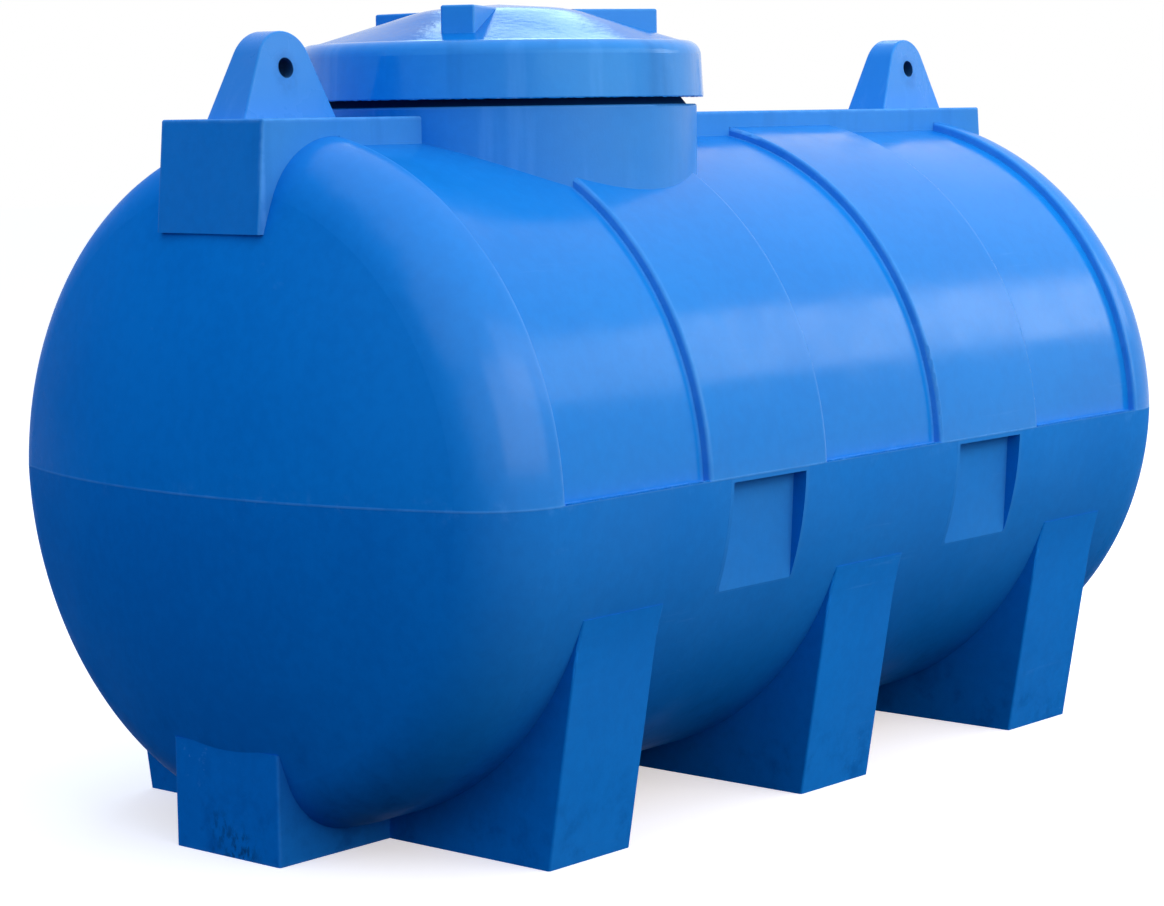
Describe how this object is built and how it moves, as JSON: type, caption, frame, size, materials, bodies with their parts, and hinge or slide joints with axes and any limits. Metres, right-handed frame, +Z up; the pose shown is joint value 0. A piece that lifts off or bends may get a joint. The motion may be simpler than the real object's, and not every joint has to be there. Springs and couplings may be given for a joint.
{
  "type": "horizontal water tank",
  "caption": "Horizontal moulded plastic water tank with dished ends, banded upper barrel, saddle feet, top spine, lifting lugs and a lift-off manway lid.",
  "frame": {"origin": "on the floor, midway between the tank ends and on the centre line", "axes": "+X along the tank towards the far end, away from the manway; +Y to the left seen from the manway end; +Z up"},
  "size_m": [3.1304, 1.7, 1.99],
  "materials": {
    "tank_plastic": "satin",
    "lid_plastic": "gloss",
    "collar_plastic": "satin"
  },
  "bodies": {
    "tank": {"far_band": "tank_plastic", "far_end_lower": "tank_plastic", "far_end_upper": "tank_plastic", "far_keel": "tank_plastic", "far_lug": "tank_plastic", "far_panel": "tank_plastic", "far_pocket_left": "tank_plastic", "far_pocket_right": "tank_plastic", "far_saddle": "tank_plastic", "far_spine": "tank_plastic", "lower_barrel": "tank_plastic", "manway_neck": "tank_plastic", "mid_panel": "tank_plastic", "mid_saddle": "tank_plastic", "near_band_left": "tank_plastic", "near_band_right": "tank_plastic", "near_end_lower": "tank_plastic", "near_end_upper": "tank_plastic", "near_keel": "tank_plastic", "near_lug": "tank_plastic", "near_panel": "tank_plastic", "near_pocket_left": "tank_plastic", "near_pocket_right": "tank_plastic", "near_saddle": "tank_plastic", "near_spine": "tank_plastic", "neck_collar": "collar_plastic"},
    "lid": {"lid_grip_1": "lid_plastic", "lid_grip_2": "lid_plastic", "lid_grip_3": "lid_plastic", "lid_skirt": "lid_plastic", "lid_top": "lid_plastic"}
  },
  "joints": [
    {"name": "lid_lift", "type": "slide", "parent": "tank", "child": "lid", "axis": [0, 0, 1], "range_m": [0, 0.45]}
  ]
}
